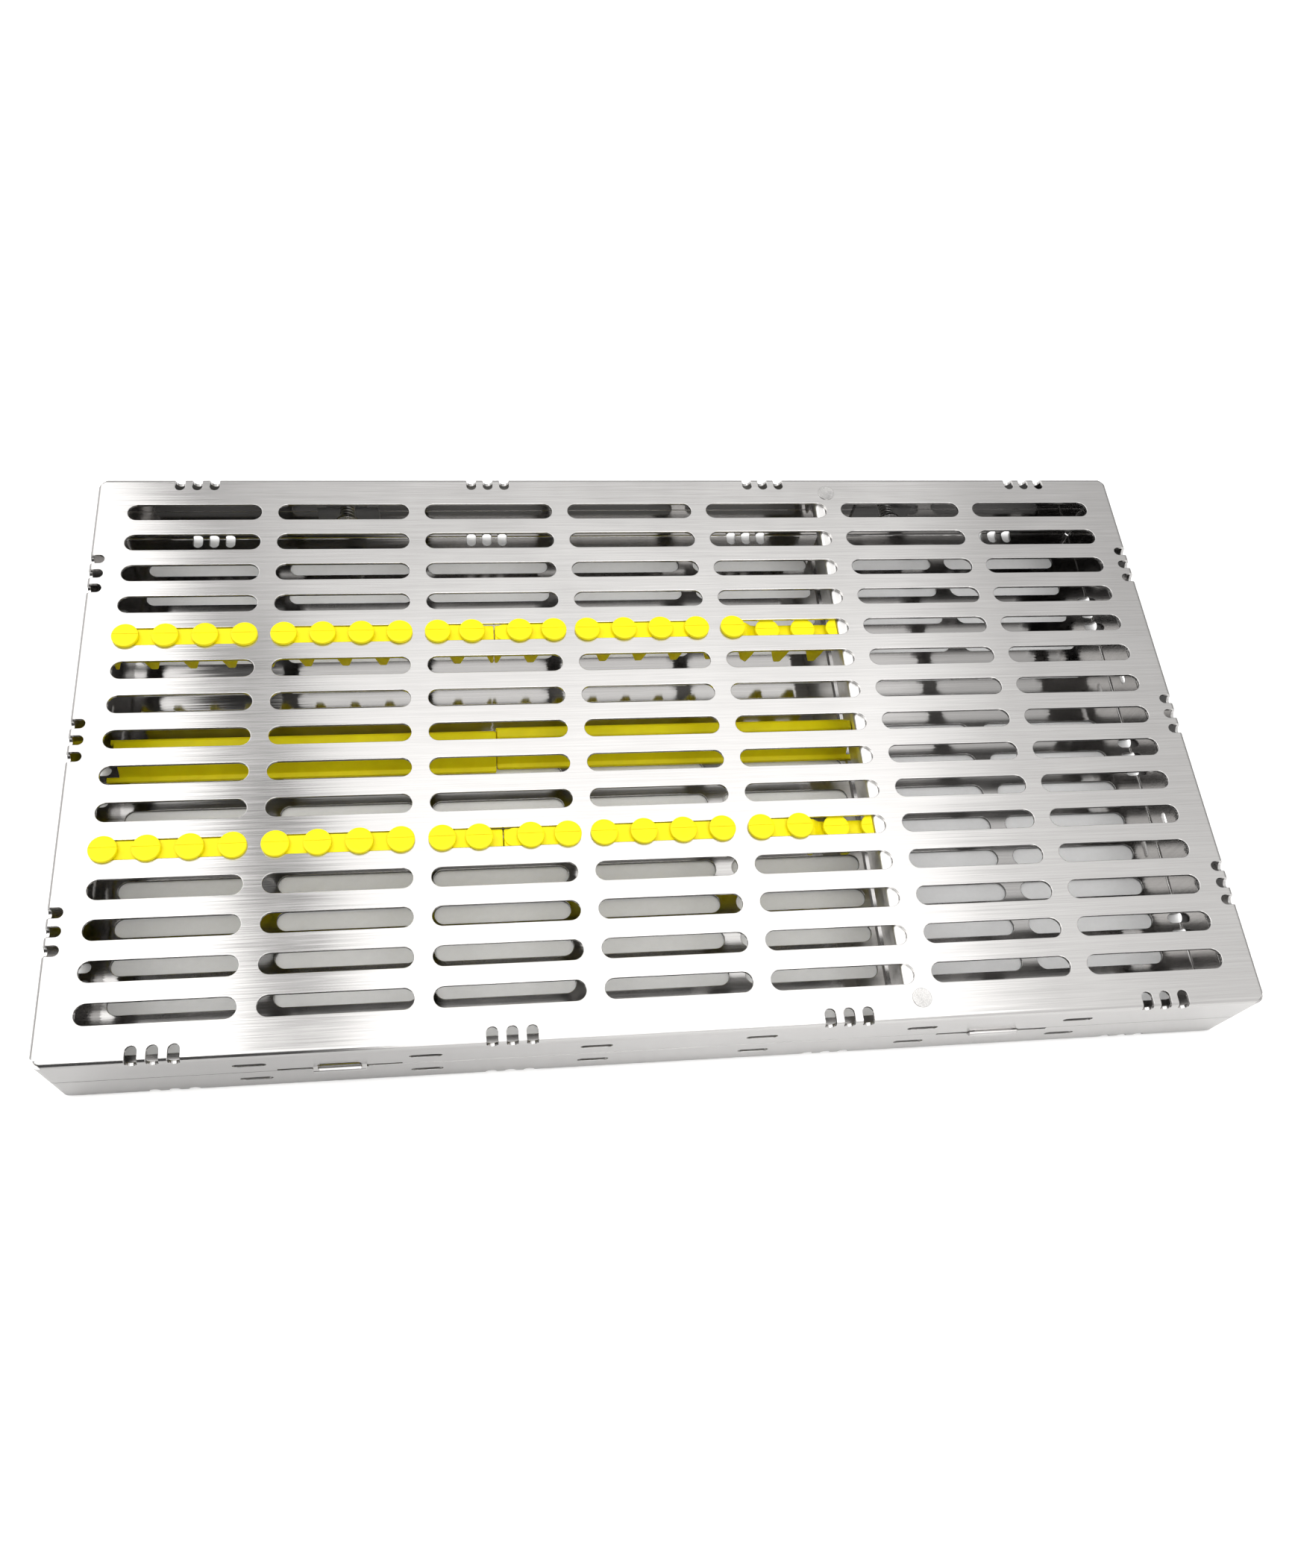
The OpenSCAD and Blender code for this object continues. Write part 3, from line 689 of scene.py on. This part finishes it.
def build_world():
    """A white photo tent, brightest overhead, dimmer to the right, with a dark gap overhead at the left."""
    world = bpy.data.worlds.new("tent")
    bpy.context.scene.world = world
    world.use_nodes = True
    g = Graph(world.node_tree)
    background = world.node_tree.nodes["Background"]
    way = g.node("ShaderNodeTexCoord").outputs["Generated"]
    x, y, z = g.split(way)
    # Places on a flat ceiling one unit up: across to the right and back to the rear.
    rise = g.math("MAXIMUM", z, 0.02)
    across = g.math("DIVIDE", x, rise)
    back = g.math("DIVIDE", y, rise)

    roof = g.span(back, 0.86, 0.36, 0.80, 2.0)
    roof = g.math("ADD", roof, g.span(back, 0.26, 0.05, 0.0, 1.0))
    rear_side = g.span(across, 0.42, 0.60, 0.97, 0.66)
    front_side = g.span(across, 0.42, 0.75, 1.14, 0.97)
    side = g.blend(g.span(back, 0.85, 0.25), rear_side, front_side)
    roof = g.blend(g.span(across, 0.40, 0.45), roof, side)

    # The dark gap has a short rear piece and a long front piece that fades forward.
    gap_middle = g.math("MULTIPLY_ADD", g.math("MULTIPLY", back, back), -0.20, -0.125)
    off_gap = g.math("SUBTRACT", across, gap_middle)
    inside_gap = g.span(off_gap, 0.036, 0.066, 1.0, 0.0)
    rear_piece = g.span(back, 0.73, 0.80, 0.0, 1.0)
    front_piece = g.math("MULTIPLY", g.span(back, 0.68, 0.60), g.span(back, 0.20, 0.50, 0.55, 1.0))
    dark = g.math("MULTIPLY", inside_gap, g.math("ADD", rear_piece, front_piece))
    level = g.math("MULTIPLY", roof, g.math("SUBTRACT", 1.0, dark))
    level = g.math("ADD", level, g.span(off_gap, -0.036, -0.014, 2.0, 0.0))

    # Low down it is dim all round, grey on the left, and nearly black in front on the left.
    level = g.math("MULTIPLY", level, g.span(z, 0.25, 0.65, 0.45, 1.0))
    sideways = g.math("DIVIDE", x, g.math("MAXIMUM", g.math("ABSOLUTE", y), 0.05))
    to_left = g.span(sideways, -3.0, -1.0, 1.0, 0.0)
    level = g.blend(g.math("MULTIPLY", g.span(z, 0.12, 0.4, 1.0, 0.0), to_left), level, 0.45)
    front = g.span(y, -0.1, 0.0, 1.0, 0.0)
    left_front = g.math("MULTIPLY", front, g.span(sideways, -0.10, -0.02, 1.0, 0.0))
    right_front = g.math("SUBTRACT", front, left_front)
    level = g.blend(g.math("MULTIPLY", left_front, g.span(z, 0.84, 0.93, 1.0, 0.0)), level, 0.06)
    level = g.blend(g.math("MULTIPLY", right_front, g.span(z, 0.2, 0.7, 1.0, 0.0)), level, 1.05)

    seen = g.node("ShaderNodeLightPath").outputs["Is Camera Ray"]
    g.feed(background.inputs["Strength"], g.blend(seen, level, 1.0))
    g.feed(background.inputs["Color"], (1.0, 0.995, 0.985, 1.0))


def build_camera():
    lens = bpy.data.cameras.new("camera")
    camera = bpy.data.objects.new("camera", lens)
    bpy.context.scene.collection.objects.link(camera)
    turn = Vector(CAMERA_TURN)
    camera.rotation_mode = "QUATERNION"
    camera.rotation_quaternion = Quaternion(turn.normalized(), turn.length)
    camera.location = CAMERA_PLACE
    lens.lens = CAMERA_LENS
    lens.sensor_width = 36.0
    lens.shift_x, lens.shift_y = CAMERA_SHIFT
    lens.clip_start = 0.01
    bpy.context.scene.camera = camera


def set_look():
    scene = bpy.context.scene
    scene.view_settings.view_transform = "Standard"
    scene.cycles.max_bounces = 16
    scene.cycles.glossy_bounces = 10
    scene.cycles.diffuse_bounces = 5


dress_metal()
build_combs()
hold_down_bar("hold_down_bar_left")
hold_down_bar("hold_down_bar_right")
latch_spring("left")
latch_spring("right")
build_floor()
build_world()
build_camera()
set_look()
